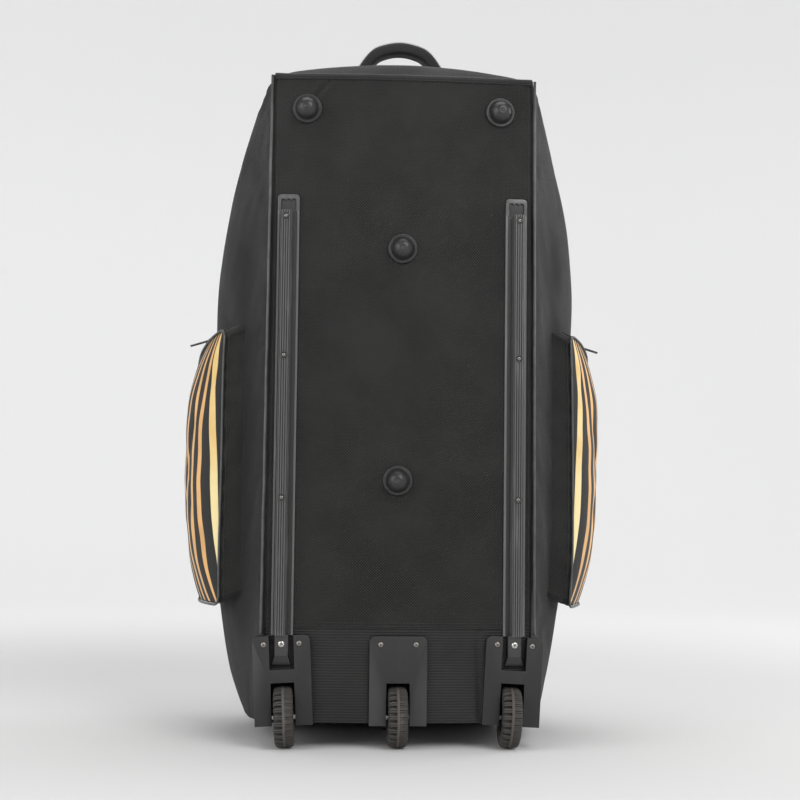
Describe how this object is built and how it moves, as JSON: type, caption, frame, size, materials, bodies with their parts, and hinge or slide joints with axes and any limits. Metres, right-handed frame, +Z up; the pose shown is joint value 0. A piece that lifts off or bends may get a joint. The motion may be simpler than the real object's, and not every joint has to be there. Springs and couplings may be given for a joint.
{
  "type": "wheeled kit bag",
  "caption": "Tall soft wheeled kit bag with ribbed runners and base studs, moulded wheel brackets, striped side pockets and a top handle.",
  "frame": {"origin": "centre of the bounding box on the floor, with the bag standing on its wheel end", "axes": "+Z up along the bag, -Y towards the runners and studs of the base, +X to the right seen from the base"},
  "size_m": [0.6102, 0.423, 0.9725],
  "materials": {
    "base_weave": "diamond weave polyester, matt",
    "kick_cloth": "coated ribbed polyester, slight sheen",
    "side_cloth": "plain polyester, matt",
    "lid_cloth": "plain polyester, matt",
    "end_cloth": "plain polyester, matt",
    "gusset_weave": "diamond weave polyester, matt",
    "striped_cloth": "black polyester with printed gold and tan stripes",
    "base_piping": "vinyl piping, satin",
    "pocket_piping": "vinyl piping, satin",
    "zip_tape": "coil zip tape",
    "zip_metal": "black painted zip fittings",
    "webbing": "padded webbing",
    "runner_plastic": "moulded, satin",
    "stud_plastic": "moulded, satin gloss",
    "bracket_plastic": "moulded, fine grain",
    "tyre": "moulded tread",
    "hub_plastic": "moulded",
    "steel": "bright zinc plate",
    "bracket_steel": "dark zinc plate",
    "black_steel": "blackened"
  },
  "bodies": {
    "bag": {"axle_left": "steel", "axle_middle": "steel", "axle_right": "steel", "base_panel": "base_weave", "base_piping_left": "base_piping", "base_piping_right": "base_piping", "base_stud_lower": "stud_plastic", "base_stud_top_left": "stud_plastic", "base_stud_top_right": "stud_plastic", "base_stud_upper": "stud_plastic", "bracket_screw_left_left": "bracket_steel", "bracket_screw_left_right": "bracket_steel", "bracket_screw_middle_left": "bracket_steel", "bracket_screw_middle_right": "bracket_steel", "bracket_screw_right_left": "bracket_steel", "bracket_screw_right_right": "bracket_steel", "end_panel_bottom": "end_cloth", "end_panel_top": "end_cloth", "handle_patch_left": "webbing", "handle_patch_right": "webbing", "kick_panel": "kick_cloth", "lid_panel": "lid_cloth", "main_zip": "zip_tape", "main_zip_slider": "zip_metal", "pocket_gusset_left": "gusset_weave", "pocket_gusset_right": "gusset_weave", "pocket_left_slider": "zip_metal", "pocket_panel_left": "striped_cloth", "pocket_panel_right": "striped_cloth", "pocket_piping_left": "pocket_piping", "pocket_piping_right": "pocket_piping", "pocket_right_slider": "zip_metal", "pocket_zip_left": "zip_tape", "pocket_zip_right": "zip_tape", "runner_foot_screw_left": "steel", "runner_foot_screw_right": "steel", "runner_left": "runner_plastic", "runner_right": "runner_plastic", "runner_screw_left_1": "black_steel", "runner_screw_left_2": "black_steel", "runner_screw_left_3": "black_steel", "runner_screw_right_1": "black_steel", "runner_screw_right_2": "black_steel", "runner_screw_right_3": "black_steel", "side_panel_left": "side_cloth", "side_panel_right": "side_cloth", "top_handle": "webbing", "wheel_bracket_left": "bracket_plastic", "wheel_bracket_middle": "bracket_plastic", "wheel_bracket_right": "bracket_plastic"},
    "wheel_left": {"tyre_left": "tyre", "wheel_hub_left": "hub_plastic"},
    "wheel_middle": {"tyre_middle": "tyre", "wheel_hub_middle": "hub_plastic"},
    "wheel_right": {"tyre_right": "tyre", "wheel_hub_right": "hub_plastic"},
    "main_zip_pull": {"main_zip_tab": "zip_metal"},
    "pocket_left_pull": {"pocket_left_tab": "zip_metal"},
    "pocket_right_pull": {"pocket_right_tab": "zip_metal"}
  },
  "joints": [
    {"name": "wheel_left_spin", "type": "hinge", "parent": "bag", "child": "wheel_left", "pos_m": [-0.14933, -0.17154, 0.04009], "axis": [0.9988, 0, 0.0488], "continuous": true},
    {"name": "wheel_middle_spin", "type": "hinge", "parent": "bag", "child": "wheel_middle", "pos_m": [0.00017, -0.17154, 0.04009], "axis": [1, 0, 0], "continuous": true},
    {"name": "wheel_right_spin", "type": "hinge", "parent": "bag", "child": "wheel_right", "pos_m": [0.14967, -0.17154, 0.04009], "axis": [0.9988, 0, -0.0488], "continuous": true},
    {"name": "main_zip_pull_swing", "type": "hinge", "parent": "bag", "child": "main_zip_pull", "pos_m": [0.00017, 0.143, 0.86396], "axis": [1, 0, 0], "range_deg": [0, 120]},
    {"name": "pocket_left_pull_swing", "type": "hinge", "parent": "bag", "child": "pocket_left_pull", "pos_m": [-0.2628, -0.03695, 0.54997], "axis": [0.2008, 0.9595, -0.1974], "range_deg": [0, 120]},
    {"name": "pocket_right_pull_swing", "type": "hinge", "parent": "bag", "child": "pocket_right_pull", "pos_m": [0.2631, -0.03696, 0.54997], "axis": [0.2005, -0.9598, 0.1962], "range_deg": [0, 120]}
  ]
}
